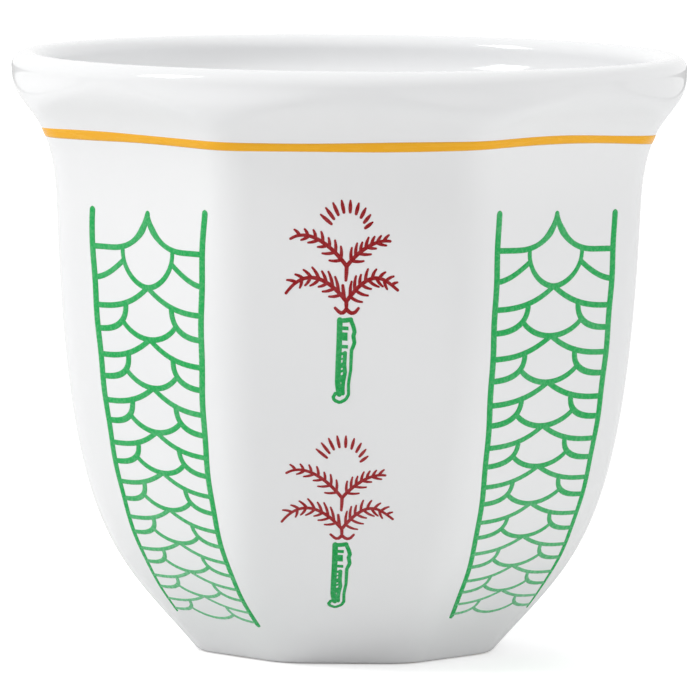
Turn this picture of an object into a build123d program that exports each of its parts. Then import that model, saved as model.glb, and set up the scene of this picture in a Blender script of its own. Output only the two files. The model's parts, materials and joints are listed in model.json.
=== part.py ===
from build123d import *
import math
import os

# An octagonal porcelain coffee cup without a handle. The origin is the middle of the foot's
# underside, +Z is up, and one facet, with two palms on it, faces -Y. The facets melt into a round
# flared lip. Every layer of colour that is fired onto the glaze is a thin solid of its own.

# Driving dimensions: body, in millimetres and degrees
RIM_DIAMETER = 65.0
FOOT_FLATS = 28.4  # across the flats, where the wall meets the table
NECK_FLATS = 55.6  # across the flats, where the wall turns into the flare
NECK_HEIGHT = 43.5
FLARE_HEIGHT = 12.5
LIP_THICKNESS = 2.8
LIP_ROUNDING = 1.3  # how far the round of each edge goes in from the side
FOOT_LEAN = 38.7  # outward lean of the wall at the foot
NECK_LEAN = 2.1  # outward lean of the wall at the neck
FOOT_PULL = 12.0  # how far each end of a curve holds its direction
WALL_PULL = 32.9
FLARE_PULL = 10.4
LIP_PULL = 3.8
LIP_HOLD = 0.75  # the same for the quarter round on each edge of the lip
CORNER_RADIUS = 5.4  # of the octagon's corners
RIM_FLAT = 1.4  # what is left of each flat at the rim, which is round to the eye
ROUNDING_RISE = 8.4  # from the neck to where the corners start to open out
WALL = 2.6
FLOOR_THICKNESS = 4.0  # from the table to the floor of the bowl
FLOOR_PULL = 18.0
BOWL_PULL = 36.0
FOOT_CHAMFER = 0.3
RECESS_DIAMETER = 20.4  # hollow under the foot, inside the ring that the cup stands on
RECESS_DEPTH = 1.6
RECESS_DRAFT = 35.0
WALL_ROWS = 10  # straight rows that each curve of the outline is cut into
FLARE_ROWS = 5
LIP_ROWS = 3
BOWL_ROWS = 9

# Driving dimensions: fired colours. Distances up the wall run along the middle of a facet
PRINT_THICKNESS = 0.05
LINE_DROP = 7.1  # from the rim down to the middle of the amber line
LINE_WIDTH = 0.8
COLUMN_DROP = 0.3  # from the neck down to the top of a scale column
COLUMN_FOOT_GAP = 5.75  # from the foot's edge up to the column's lower end
COLUMN_TOP_WIDTH = 15.5
COLUMN_FOOT_WIDTH = 10.8
RAIL_WIDTH = 0.7
RAIL_STEPS = 4  # straight lengths that a rail is drawn in
SCALE_WIDTH = 0.5  # of the lines that draw the scales
CUSP_DROP = 3.4  # from a column's top to its first level line
FIRST_SCALE = 6.9  # from a column's top to the bottom of its first scale
ROW_COUNT = 9
ROW_RATIO = 0.937  # each row's height over that of the row above
PALM_RISE = 1.5  # from the neck up to the top of the upper palm
PALM_FOOT_GAP = 7.9  # from the foot's edge up to the lower palm's trunk
PALM_GAP = 2.9  # between the two palms of a facet
PALM_WIDTH = 10.6
RAY_COUNT = 9
RAY_SPREAD = 104.0  # between the outermost rays
RAY_START = 2.1  # from the middle of the fan
RAY_END = 3.25
RAY_WIDTH = 0.22
TOOTH_COUNT = 4  # on each side of a frond
TOOTH_LENGTH = 0.75
RIB_WIDTH = 0.28
TRUNK_WIDTH = 1.5
NOTCH_COUNT = 4
NOTCH_DEPTH = 0.25

COLUMN_SHIFT = 0.45  # off the middle of the facet, as the transfers were laid by hand
UPPER_PALM_SHIFT = -0.3
LOWER_PALM_SHIFT = -0.5

# Worked out from the above
SIDES = 8
STEP = 360 / SIDES
HALF_TAN = math.tan(math.radians(STEP / 2))
RIM = RIM_DIAMETER / 2
LIP_START = NECK_HEIGHT + FLARE_HEIGHT
HEIGHT = LIP_START + LIP_THICKNESS / 2
LINE_HEIGHT = HEIGHT - LINE_DROP
REACH = RIM + PRINT_THICKNESS + 1  # beyond the widest part of the cup
PALM_PLACES = ("front", "right", "back", "left")
COLUMN_PLACES = ("front_right", "back_right", "back_left", "front_left")


def lean(angle):
    """Direction in the XZ plane that leans outward from straight up by an angle."""
    return Vector(math.sin(math.radians(angle)), 0, math.cos(math.radians(angle)))


def curve(start, start_lean, start_pull, end, end_lean, end_pull):
    """Curve between two points of the XZ plane that leaves and arrives with given leans."""
    first = start + lean(start_lean) * start_pull
    last = end - lean(end_lean) * end_pull
    return Bezier(start, first, last, end)


# Outline of a facet's middle, from the foot to the lip
FOOT_POINT = Vector(FOOT_FLATS / 2, 0, 0)
NECK_POINT = Vector(NECK_FLATS / 2, 0, NECK_HEIGHT)
LIP_POINT = Vector(RIM, 0, LIP_START)
WALL_LINE = curve(FOOT_POINT, FOOT_LEAN, FOOT_PULL, NECK_POINT, NECK_LEAN, WALL_PULL)
FLARE_LINE = curve(NECK_POINT, NECK_LEAN, FLARE_PULL, LIP_POINT, 0, LIP_PULL)
LIP_TOP = Vector(RIM - LIP_ROUNDING, 0, HEIGHT)
LIP_LINE = curve(LIP_POINT, 0, LIP_HOLD, LIP_TOP, -90, LIP_HOLD)


def corner_radius(apothem, height):
    """Radius of the octagon's corners, which open out to the rim's own round above the neck."""
    start = NECK_HEIGHT + ROUNDING_RISE
    share = min(max((height - start) / (LIP_START - start), 0), 1)
    ease = share * share * (3 - 2 * share)
    rim_corner = RIM - RIM_FLAT / 2 / HALF_TAN
    return min(CORNER_RADIUS + ease * (rim_corner - CORNER_RADIUS), apothem - RIM_FLAT / 2 / HALF_TAN)


def rows(line, count):
    """Points that cut a line into rows of one length, without the point where it starts."""
    return [line.position_at(k / count) for k in range(1, count + 1)]


def section(point, along, grown):
    """Rounded octagon round the axis, through one point of an outline moved out by grown."""
    octagon = RegularPolygon(point.X + grown * along.Z, SIDES, major_radius=False, rotation=STEP / 2)
    rounded = fillet(octagon.vertices(), corner_radius(point.X, point.Z) + grown)
    return Pos(0, 0, point.Z - grown * along.X) * rounded


def outer_form(grown=0.0):
    """The cup's outside as one solid, up to the top of its lip, grown square to the wall."""
    sections = [section(WALL_LINE @ 0, WALL_LINE % 0, grown)]
    for line, count in ((WALL_LINE, WALL_ROWS), (FLARE_LINE, FLARE_ROWS), (LIP_LINE, LIP_ROWS)):
        sections += [section(line @ (k / count), line % (k / count), grown) for k in range(1, count + 1)]
    return loft(sections, ruled=True)


def cavity():
    """The round inside, turned about the axis, one wall thickness within the facets."""
    floor = Vector(0, 0, FLOOR_THICKNESS)
    neck = NECK_POINT - Vector(WALL, 0, 0)
    lip = LIP_POINT - Vector(LIP_THICKNESS, 0, 0)
    bowl = curve(floor, 90, FLOOR_PULL, neck, NECK_LEAN, BOWL_PULL)
    flare = curve(neck, NECK_LEAN, FLARE_PULL, lip, 0, LIP_PULL)
    mouth = [Vector(2 * RIM - LIP_THICKNESS - point.X, 0, point.Z) for point in rows(LIP_LINE, LIP_ROWS)]
    outline = [floor, *rows(bowl, BOWL_ROWS), *rows(flare, FLARE_ROWS), *mouth, Vector(0, 0, HEIGHT)]
    return revolve(make_face(Polyline(*outline, close=True)), Axis.Z)


def foot_recess():
    """Shallow hollow under the foot, with drafted sides."""
    half = RECESS_DIAMETER / 2
    inner = half - RECESS_DEPTH * math.tan(math.radians(RECESS_DRAFT))
    outline = Polyline((0, 0, 0), (half, 0, 0), (inner, 0, RECESS_DEPTH), (0, 0, RECESS_DEPTH), close=True)
    return revolve(make_face(outline), Axis.Z)


def cup_body(form):
    """Porcelain body: the outer form with its foot's edge taken off, hollowed from above and below."""
    footed = chamfer(form.edges().group_by(Axis.Z)[0], FOOT_CHAMFER)
    return footed - cavity() - foot_recess()


def facet_height(distance):
    """Height of the point that lies a distance up the middle of a facet from the foot's edge."""
    if distance <= WALL_LINE.length:
        return WALL_LINE.position_at(distance, PositionMode.LENGTH).Z
    return FLARE_LINE.position_at(distance - WALL_LINE.length, PositionMode.LENGTH).Z


def patch(points):
    """Face in the XZ plane, from an outline on the flat transfer: across, and up the wall."""
    corners = [Vector(across, 0, facet_height(up)) for across, up in points]
    return make_face(Polyline(*corners, close=True))


def stroke(points, width):
    """Face of a line of one width through points on the flat transfer."""
    left, right = [], []
    for k, (across, up) in enumerate(points):
        before = points[max(k - 1, 0)]
        after = points[min(k + 1, len(points) - 1)]
        scale = width / 2 / math.dist(before, after)
        step_across = (before[1] - after[1]) * scale
        step_up = (after[0] - before[0]) * scale
        left.append((across + step_across, up + step_up))
        right.append((across - step_across, up - step_up))
    return patch(left + right[::-1])


def front_coat(form):
    """The layer of one print's thickness that lies on the front facet and its two corners."""
    coat = outer_form(PRINT_THICKNESS) - form
    return coat, coat & Pos(0, -REACH, HEIGHT / 2) * Box(NECK_FLATS / 2, 2 * REACH, HEIGHT)


def fired(faces, coat, shift):
    """Colour where faces drawn on the front facet, slid across it by shift, meet the coat."""
    figure = Pos(shift, 0, 0) * (Sketch() + faces)
    return extrude(figure, amount=REACH, dir=(0, -1, 0)) & coat


def turned(shape, facets):
    """The same shape, turned about the cup's axis by a number of facets."""
    return Rot(0, 0, facets * STEP) * shape


def column_half_width(share):
    """Half the width of a scale column, at a share of its height."""
    return (COLUMN_FOOT_WIDTH + (COLUMN_TOP_WIDTH - COLUMN_FOOT_WIDTH) * max(share, 0) ** 0.7) / 2


def scale_column():
    """Faces of a column: two rails, a cusped first scale, and rows of scales that shrink downwards."""
    top = WALL_LINE.length - COLUMN_DROP
    foot = COLUMN_FOOT_GAP
    node = top - FIRST_SCALE
    row = (node - foot) * (1 - ROW_RATIO) / (1 - ROW_RATIO**ROW_COUNT)

    def at(across, up):
        return across * column_half_width((up - foot) / (top - foot)), up

    def both(shape, start, drop):
        """A line and its mirror image; shape is in shares of the half width and of the drop."""
        for side in (-1, 1):
            yield stroke([at(side * across, start - fall * drop) for across, fall in shape], SCALE_WIDTH)

    def across(shape, start, drop):
        """One line from side to side through the middle, where the shape ends."""
        mirrored = [(-x, fall) for x, fall in shape] + list(shape[-2::-1])
        return stroke([at(x, start - fall * drop) for x, fall in mirrored], SCALE_WIDTH)

    cusp = ((1, 1), (0.45, 0.98), (0.2, 0.67), (0, 0))
    first = ((0.45, 0.51), (0.42, 0.66), (0.3, 0.87), (0, 1))
    first_side = ((0.44, 0.61), (0.7, 0.86), (1, 0.92))
    shoulder = ((1, 0.42), (0.4, 0.32), (0, 0))
    scale = ((0.45, 0.35), (0.5, 0.69), (0.27, 0.92), (0, 1))
    side_scale = ((0.5, 0.69), (1, 0.89))

    faces = [across(cusp, top, CUSP_DROP), across(first, top, FIRST_SCALE), *both(first_side, top, FIRST_SCALE)]
    for _ in range(ROW_COUNT):
        faces += [across(shoulder, node, row), across(scale, node, row), *both(side_scale, node, row)]
        node -= row
        row *= ROW_RATIO
    for side in (-1, 1):
        stops = [top + (foot - top) * k / RAIL_STEPS for k in range(RAIL_STEPS + 1)]
        faces.append(stroke([at(side, up) for up in stops], RAIL_WIDTH))
    return faces


def palm_height():
    """Height of one palm: two of them and their gaps fill a facet."""
    return (WALL_LINE.length + PALM_RISE - PALM_FOOT_GAP - PALM_GAP) / 2


def frond(rib):
    """Face of a toothed frond along a rib, whose teeth point to its tip and shorten towards it."""
    left, right = [], []
    for k in range(TOOTH_COUNT):
        for share, reach in ((k / TOOTH_COUNT, RIB_WIDTH / 2), ((k + 0.9) / TOOTH_COUNT, TOOTH_LENGTH)):
            place = rib.position_at(share)
            along = rib.tangent_at(share)
            reach *= 1 - 0.4 * share
            left.append((place.X - along.Y * reach, place.Y + along.X * reach))
            right.append((place.X + along.Y * reach, place.Y - along.X * reach))
    tip = rib.position_at(1)
    return patch(left + [(tip.X, tip.Y)] + right[::-1])


def palm_crown(base):
    """Faces of a palm's fan of rays, its two pairs of fronds on their stem, and the curls below."""
    high = palm_height()
    half = PALM_WIDTH / 2

    def at(across, up):
        return across * half, base + up * high

    faces = []
    fan = at(0, 1)[1] - RAY_END
    for k in range(RAY_COUNT):
        angle = math.radians(RAY_SPREAD * (k / (RAY_COUNT - 1) - 0.5))
        ray = [(math.sin(angle) * r, fan + math.cos(angle) * r) for r in (RAY_START, RAY_END)]
        faces.append(stroke(ray, RAY_WIDTH))
    upper_ribs = (
        ((0, 0.685), (-0.42, 0.775), (-0.6, 0.86), (-0.96, 0.825)),
        ((0, 0.685), (0.35, 0.77), (0.5, 0.825), (0.76, 0.815)),
    )
    lower_ribs = (
        ((0, 0.51), (-0.35, 0.63), (-0.85, 0.7), (-1, 0.555)),
        ((0, 0.51), (0.35, 0.63), (0.75, 0.7), (0.92, 0.565)),
    )
    for ribs in (upper_ribs, lower_ribs):
        faces += [frond(Bezier(*[at(*point) for point in rib])) for rib in ribs]
    faces.append(stroke([at(0, 0.7), at(0, 0.62)], RIB_WIDTH))
    faces.append(stroke([at(0, 0.53), at(-0.06, 0.475), at(-0.16, 0.465)], RIB_WIDTH))
    faces.append(stroke([at(0, 0.53), at(0.07, 0.475), at(0.19, 0.467)], RIB_WIDTH))
    return faces


def palm_trunk(base):
    """Face of a palm's trunk: it leans, one side is notched, and its foot is rounded off."""
    high = 0.425 * palm_height()
    half = TRUNK_WIDTH / 2

    def at(across, share):
        return across * half - 0.3 * (1 - share), base + share * high

    outline = [at(1.05, 1), at(-1, 0.98), at(-1.05, 0.12), at(-1.25, 0.04), at(-0.8, 0), at(0.55, 0.01)]
    for k in range(NOTCH_COUNT):
        across, share = at(1, 0.12 + 0.8 * k / NOTCH_COUNT)
        outline.append((across, share))
        outline.append((across - NOTCH_DEPTH, share + 0.4 * high / NOTCH_COUNT))
    return [patch(outline)]


def amber_line(coat):
    """Band of lustre drawn round the neck."""
    slab = Pos(0, 0, LINE_HEIGHT) * Cylinder(REACH, LINE_WIDTH)
    return coat & slab


def build():
    """Every sub-part in its place, by name."""
    form = outer_form()
    coat, facet = front_coat(form)
    parts = {"cup_body": cup_body(form), "amber_line": amber_line(coat)}
    column = fired(scale_column(), facet, COLUMN_SHIFT)
    for k, place in enumerate(COLUMN_PLACES):
        parts[f"scale_column_{place}"] = turned(column, 2 * k + 1)
    upper_base = PALM_FOOT_GAP + palm_height() + PALM_GAP
    levels = {"upper": (upper_base, UPPER_PALM_SHIFT), "lower": (PALM_FOOT_GAP, LOWER_PALM_SHIFT)}
    for level, (base, shift) in levels.items():
        crown = fired(palm_crown(base), facet, shift)
        trunk = fired(palm_trunk(base), facet, shift)
        for k, place in enumerate(PALM_PLACES):
            parts[f"palm_crown_{place}_{level}"] = turned(crown, 2 * k)
            parts[f"palm_trunk_{place}_{level}"] = turned(trunk, 2 * k)
    return parts


def main():
    os.makedirs("parts", exist_ok=True)
    for name, shape in build().items():
        export_step(shape, f"parts/{name}.step")
        print(name, len(shape.solids()), "solids", round(shape.volume, 3), "mm3")


if __name__ == "__main__":
    main()
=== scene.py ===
# %% [markdown]
# # A faceted coffee cup with fired-on colours
#
# The cup is one porcelain body. Eight flat facets rise from a small foot and melt into a round, flared lip.
# Everything coloured on it is a thin layer of enamel that was fired onto the glaze: an amber line round the
# neck, four green columns of fish scales, and eight small date palms in dark red and green.
#
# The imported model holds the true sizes, so it is loaded first. Every surface below is worked out in its frame
# as a numpy array, in millimetres, and becomes metres only when a mesh is made.

# %% Load the frame
import json
import math

import bpy
import numpy as np
from mathutils import Matrix, Vector

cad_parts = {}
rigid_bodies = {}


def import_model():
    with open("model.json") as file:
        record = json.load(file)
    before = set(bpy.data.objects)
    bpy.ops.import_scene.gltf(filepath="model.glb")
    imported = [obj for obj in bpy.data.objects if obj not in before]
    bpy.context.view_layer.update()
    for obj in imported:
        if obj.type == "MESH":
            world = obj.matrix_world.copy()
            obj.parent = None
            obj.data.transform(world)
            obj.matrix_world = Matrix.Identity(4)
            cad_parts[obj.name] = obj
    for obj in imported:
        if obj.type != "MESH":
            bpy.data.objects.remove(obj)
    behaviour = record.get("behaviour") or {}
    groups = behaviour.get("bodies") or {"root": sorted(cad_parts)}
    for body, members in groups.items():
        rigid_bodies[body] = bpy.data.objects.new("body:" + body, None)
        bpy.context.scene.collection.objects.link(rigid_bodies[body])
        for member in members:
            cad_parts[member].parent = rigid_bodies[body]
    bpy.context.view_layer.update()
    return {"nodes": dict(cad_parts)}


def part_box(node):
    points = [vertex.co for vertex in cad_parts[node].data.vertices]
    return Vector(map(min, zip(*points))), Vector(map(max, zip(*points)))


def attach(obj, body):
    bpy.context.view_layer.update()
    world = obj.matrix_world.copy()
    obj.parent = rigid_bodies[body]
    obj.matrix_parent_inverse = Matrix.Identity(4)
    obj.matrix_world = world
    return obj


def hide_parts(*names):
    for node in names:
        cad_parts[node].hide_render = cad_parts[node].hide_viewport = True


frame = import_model()
MM = 0.001


def node_box(node):
    """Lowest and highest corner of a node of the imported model, in millimetres."""
    low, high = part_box(node)
    return np.array(low) / MM, np.array(high) / MM


body_low, body_high = node_box("cup_body")
RIM_RADIUS = (body_high[0] - body_low[0]) / 2
CUP_HEIGHT = body_high[2]
print("cup", 2 * RIM_RADIUS, "mm across the rim and", CUP_HEIGHT, "mm tall,", len(frame["nodes"]), "nodes")

# %% [markdown]
# ## The outline
#
# A potter would cut this outline as a template: it leans out of the foot, straightens towards the neck, and
# turns out again into the flare. Two cubic curves give it with few numbers, because each needs only where
# it starts and ends, how it leans there and how long it holds that lean. The outline is drawn for the middle
# of a facet, as distance from the axis and height.

# %% The outline of a facet's middle
FOOT_APOTHEM = 14.2
NECK_APOTHEM = 27.8
NECK_HEIGHT = 43.5
LIP_RADIUS = 1.4
LIP_START = CUP_HEIGHT - LIP_RADIUS
WALL_AT_NECK = 2.6
FLOOR_HEIGHT = 4.0
FOOT_LEAN = 38.7
NECK_LEAN = 2.1
FOOT_HOLD = 12.0
WALL_HOLD = 32.9
FLARE_HOLD = 10.4
LIP_HOLD = 3.8
FLOOR_HOLD = 18.0
BOWL_HOLD = 36.0
WALL_POINTS = 86
FLARE_POINTS = 46
BOWL_POINTS = 62
INNER_FLARE_POINTS = 30


def leaning(angle, length):
    """Step of a length in the direction that leans outward from straight up by an angle in degrees."""
    return length * np.array([math.sin(math.radians(angle)), math.cos(math.radians(angle))])


def cubic(start, first, last, end, count):
    """Cubic curve: the four points weighted by the terms of ((1 - t) + t) cubed, at even steps of t."""
    t = np.linspace(0, 1, count)[:, None]
    return start * (1 - t) ** 3 + 3 * first * t * (1 - t) ** 2 + 3 * last * t * t * (1 - t) + end * t**3


foot = np.array([FOOT_APOTHEM, 0.0])
neck = np.array([NECK_APOTHEM, NECK_HEIGHT])
lip = np.array([RIM_RADIUS, LIP_START])
inner_neck = neck - [WALL_AT_NECK, 0]
inner_lip = lip - [2 * LIP_RADIUS, 0]
bowl_floor = np.array([0.0, FLOOR_HEIGHT])

flare_hold = leaning(NECK_LEAN, FLARE_HOLD)
lip_hold = leaning(0, LIP_HOLD)
above_foot = foot + leaning(FOOT_LEAN, FOOT_HOLD)
beside_floor = bowl_floor + leaning(90, FLOOR_HOLD)
wall = cubic(foot, above_foot, neck - leaning(NECK_LEAN, WALL_HOLD), neck, WALL_POINTS)
flare = cubic(neck, neck + flare_hold, lip - lip_hold, lip, FLARE_POINTS)
bowl = cubic(bowl_floor, beside_floor, inner_neck - leaning(NECK_LEAN, BOWL_HOLD), inner_neck, BOWL_POINTS)
inner_flare = cubic(inner_neck, inner_neck + flare_hold, inner_lip - lip_hold, inner_lip, INNER_FLARE_POINTS)

outside = np.concatenate([wall, flare[1:]])
steps = np.diff(outside, axis=0)
UP = np.concatenate([[0], np.cumsum(np.hypot(*steps.T))])
OUT, RISE = outside.T
LEAN = np.unwrap(np.arctan2(*np.gradient(outside, axis=0).T))
WALL_LENGTH = UP[len(wall) - 1]
print("wall", round(WALL_LENGTH, 2), "mm from foot to neck, and", round(UP[-1], 2), "mm to the lip")

# %% [markdown]
# ## Rounded octagons
#
# Seen from above, each level of the wall is an octagon with rounded corners. Low down the corners are tight.
# Above the neck they open out until nothing is left of the flats, and the lip is a circle. A corner radius
# that eases from one value to the other gives that melting without a seam, so the outside is one surface.

# %% Rings of the wall
SIDES = 8
FACET = 2 * math.pi / SIDES
HALF_TAN = math.tan(FACET / 2)
CORNER_RADIUS = 5.4
ROUNDING_RISE = 8.4
ROUNDING_START = NECK_HEIGHT + ROUNDING_RISE


def corner_radius(height, apothem):
    """Radius of the corners: steady up to the rounding, then an S-curve up to the full circle at the lip."""
    share = np.clip((height - ROUNDING_START) / (LIP_START - ROUNDING_START), 0, 1)
    ease = share * share * (3 - 2 * share)
    return np.minimum(CORNER_RADIUS + ease * (RIM_RADIUS - CORNER_RADIUS), apothem)


def ring(apothem, corner, angle):
    """Radius of a rounded octagon. On a flat it is the apothem over the cosine of the angle from the facet's
    middle. Round a corner it is the far crossing of the ray with the circle that rounds that corner."""
    swing = np.abs((angle + FACET / 2) % FACET - FACET / 2)
    flat_end = np.arctan2((apothem - corner) * HALF_TAN, apothem)
    centre = (apothem - corner) / math.cos(FACET / 2)
    aside = centre * np.sin(FACET / 2 - swing)
    round_part = centre * np.cos(FACET / 2 - swing) + np.sqrt(np.maximum(corner**2 - aside**2, 0))
    return np.where(swing < flat_end, apothem / np.cos(swing), round_part)


print("corners of", CORNER_RADIUS, "mm up to", ROUNDING_START, "mm, then opening to", RIM_RADIUS, "mm")

# %% [markdown]
# ## Glazed porcelain
#
# White glaze looks plain, but it is never one flat colour: it pools a little thicker here and there, its
# surface ripples over a centimetre or so, and the ring that the cup stands on is wiped bare before firing, so
# clay shows there. Noise on Object coordinates gives the pooling and the ripple. A mask from the height and
# the distance from the axis gives the bare ring. The gloss itself comes from the shader and the lights.

# %% Tools for finishes
MIX_COLOURS = (6, 7)
MIX_RESULT = 2
MOST_NOISE = (0.3, 0.7)


def new_finish(name):
    """Empty node material: returns the material, its node tree and its main shader."""
    finish = bpy.data.materials.new(name)
    finish.use_nodes = True
    shader = finish.node_tree.nodes["Principled BSDF"]
    return finish, finish.node_tree, shader


def add_node(tree, kind, settings=None, **inputs):
    """Node of a kind. Settings are its own properties; inputs are values, or sockets that get linked."""
    node = tree.nodes.new(kind)
    for key, value in (settings or {}).items():
        setattr(node, key, value)
    for key, value in inputs.items():
        socket = node.inputs[int(key[1:])] if key[1:].isdigit() else node.inputs[key.replace("_", " ")]
        if isinstance(value, bpy.types.NodeSocket):
            tree.links.new(value, socket)
        else:
            socket.default_value = value
    return node


def noise(tree, place, size, detail=2.0, roughness=0.5):
    """Noise whose patches are about a size across, in millimetres, on Object coordinates."""
    node = add_node(tree, "ShaderNodeTexNoise", Vector=place, Scale=1 / (size * MM), Detail=detail)
    node.inputs["Roughness"].default_value = roughness
    return node.outputs["Fac"]


def blend_colour(tree, share, low, high):
    """Colour that goes from low to high with a share. Each of the two is a colour or a socket. A Mix node has
    a set of sockets for each kind of data, so those for colours are picked by number."""
    node = add_node(tree, "ShaderNodeMix", {"data_type": "RGBA"}, _0=share)
    for number, colour in zip(MIX_COLOURS, (low, high)):
        if isinstance(colour, bpy.types.NodeSocket):
            tree.links.new(colour, node.inputs[number])
        else:
            node.inputs[number].default_value = (*colour, 1)
    return node.outputs[MIX_RESULT]


def ramp(tree, value, start, end, low=0.0, high=1.0):
    """Value carried from one range to another along an S-curve, and held at both ends."""
    node = add_node(tree, "ShaderNodeMapRange", {"interpolation_type": "SMOOTHSTEP"}, Value=value)
    for key, number in (("From Min", start), ("From Max", end), ("To Min", low), ("To Max", high)):
        node.inputs[key].default_value = number
    return node.outputs["Result"]


def math_node(tree, operation, first, second):
    """Two values joined by one operation."""
    return add_node(tree, "ShaderNodeMath", {"operation": operation}, _0=first, _1=second).outputs[0]


print("tools for finishes are ready")

# %% The porcelain finish
FOOT_RING_INNER = 10.2
BARE_HEIGHT = 0.08
BARE_FADE = 0.6
BARE_INNER_FADE = (-0.1, 0.25)
BARE_WOBBLE = 0.3
GLAZE_THIN = (0.905, 0.91, 0.918)
GLAZE_POOLED = (0.922, 0.926, 0.931)
CLAY_DARK = (0.66, 0.61, 0.54)
CLAY_PALE = (0.76, 0.72, 0.66)
POOL_SIZE = 22
RIPPLE_SIZE = 9
WOBBLE_SIZE = 3
CLAY_GRAIN = 0.5
RIPPLE_DEPTH = 0.05
PIT_DEPTH = 0.08
GLAZE_ROUGHNESS = (0.03, 0.05)
CLAY_ROUGHNESS = 0.75
GLASS_IOR = 1.5


def porcelain_finish():
    """White glaze that pools and ripples, with a bare clay ring where the cup stands."""
    finish, tree, shader = new_finish("glazed_porcelain")
    place = add_node(tree, "ShaderNodeTexCoord").outputs["Object"]
    pooling = noise(tree, place, POOL_SIZE, detail=3)
    glaze = blend_colour(tree, ramp(tree, pooling, *MOST_NOISE), GLAZE_THIN, GLAZE_POOLED)
    grain = noise(tree, place, CLAY_GRAIN, detail=4, roughness=0.7)
    clay = blend_colour(tree, grain, CLAY_DARK, CLAY_PALE)
    split = add_node(tree, "ShaderNodeSeparateXYZ", Vector=place).outputs
    level = add_node(tree, "ShaderNodeCombineXYZ", X=split["X"], Y=split["Y"]).outputs[0]
    reach = add_node(tree, "ShaderNodeVectorMath", {"operation": "LENGTH"}, _0=level).outputs["Value"]
    around_zero = math_node(tree, "SUBTRACT", noise(tree, place, WOBBLE_SIZE), 0.5)
    edge_wobble = math_node(tree, "MULTIPLY", around_zero, BARE_WOBBLE * MM)
    height = math_node(tree, "ADD", split["Z"], edge_wobble)
    low = ramp(tree, height, BARE_HEIGHT * BARE_FADE * MM, BARE_HEIGHT * MM, 1, 0)
    fade_start, fade_end = [(FOOT_RING_INNER + way) * MM for way in BARE_INNER_FADE]
    outer = ramp(tree, reach, fade_start, fade_end)
    bare = math_node(tree, "MULTIPLY", low, outer)
    tree.links.new(blend_colour(tree, bare, glaze, clay), shader.inputs["Base Color"])
    gloss = ramp(tree, noise(tree, place, RIPPLE_SIZE), *MOST_NOISE, *GLAZE_ROUGHNESS)
    rough = math_node(tree, "MAXIMUM", gloss, ramp(tree, bare, 0, 1, 0.0, CLAY_ROUGHNESS))
    tree.links.new(rough, shader.inputs["Roughness"])
    ripple = noise(tree, place, RIPPLE_SIZE, detail=1)
    waves = add_node(tree, "ShaderNodeBump", Height=ripple, Strength=0.25, Distance=RIPPLE_DEPTH * MM)
    pits = add_node(tree, "ShaderNodeBump", Height=math_node(tree, "MULTIPLY", grain, bare), Strength=0.5)
    pits.inputs["Distance"].default_value = PIT_DEPTH * MM
    tree.links.new(waves.outputs[0], pits.inputs["Normal"])
    tree.links.new(pits.outputs[0], shader.inputs["Normal"])
    shader.inputs["IOR"].default_value = GLASS_IOR
    return finish


porcelain = porcelain_finish()
print("finish", porcelain.name, "with", len(porcelain.node_tree.nodes), "nodes")

# %% [markdown]
# ## The porcelain body
#
# The body is one closed surface with two parameters: how far along the template, and how far round the axis.
# The template starts under the foot, in the shallow recess, crosses the standing ring, climbs the facets,
# rolls over the lip and runs down the round inside to the middle of the floor. Columns stand closer together
# at the corners, where the surface turns, than on the flats. The two ends are poles, closed by fans.

# %% Build the porcelain body
RECESS_RADIUS = 9.08
RECESS_HEIGHT = 1.6
FOOT_ROUNDING = 0.45
HEEL_ROUNDING = 0.4
TOE_GAP = 0.15
UNDER_POINTS = 8
UNDER_REACH = 0.94
LOW_WALL_POINT = 4
CREST_POINTS = 30
COLUMNS = 320
CROWDING = 0.6


def make_piece(name, points, faces, finish, node, slot, **tags):
    """Object at the origin from points in millimetres. It rides on the cup and stands for one node."""
    mesh = bpy.data.meshes.new(name)
    mesh.from_pydata((points * MM).tolist(), [], faces)
    for tag, values in tags.items():
        layer = mesh.attributes.new(tag, "FLOAT", "POINT")
        layer.data.foreach_set("value", np.asarray(values, dtype=np.float32))
    mesh.polygons.foreach_set("use_smooth", np.ones(len(mesh.polygons), dtype=bool))
    mesh.materials.append(finish)
    piece = bpy.data.objects.new(name, mesh)
    bpy.context.scene.collection.objects.link(piece)
    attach(piece, "root")
    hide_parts(node)


def closed_rows(rows, columns):
    """Quads of a grid whose rows close on themselves: a point, its neighbour, and the two in the next row."""
    here = np.arange(rows * columns).reshape(rows, columns)
    beside = np.roll(here, -1, axis=1)
    return np.stack([here[:-1], beside[:-1], beside[1:], here[1:]], axis=-1).reshape(-1, 4)


def rounded(before, corner, after, size, count=7):
    """Rounded corner: a quadratic curve that leaves one side and joins the next at a size from the corner."""
    start = corner + size * (before - corner) / np.linalg.norm(before - corner)
    end = corner + size * (after - corner) / np.linalg.norm(after - corner)
    t = np.linspace(0, 1, count)[:, None]
    return start * (1 - t) ** 2 + 2 * corner * t * (1 - t) + end * t * t


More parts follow.
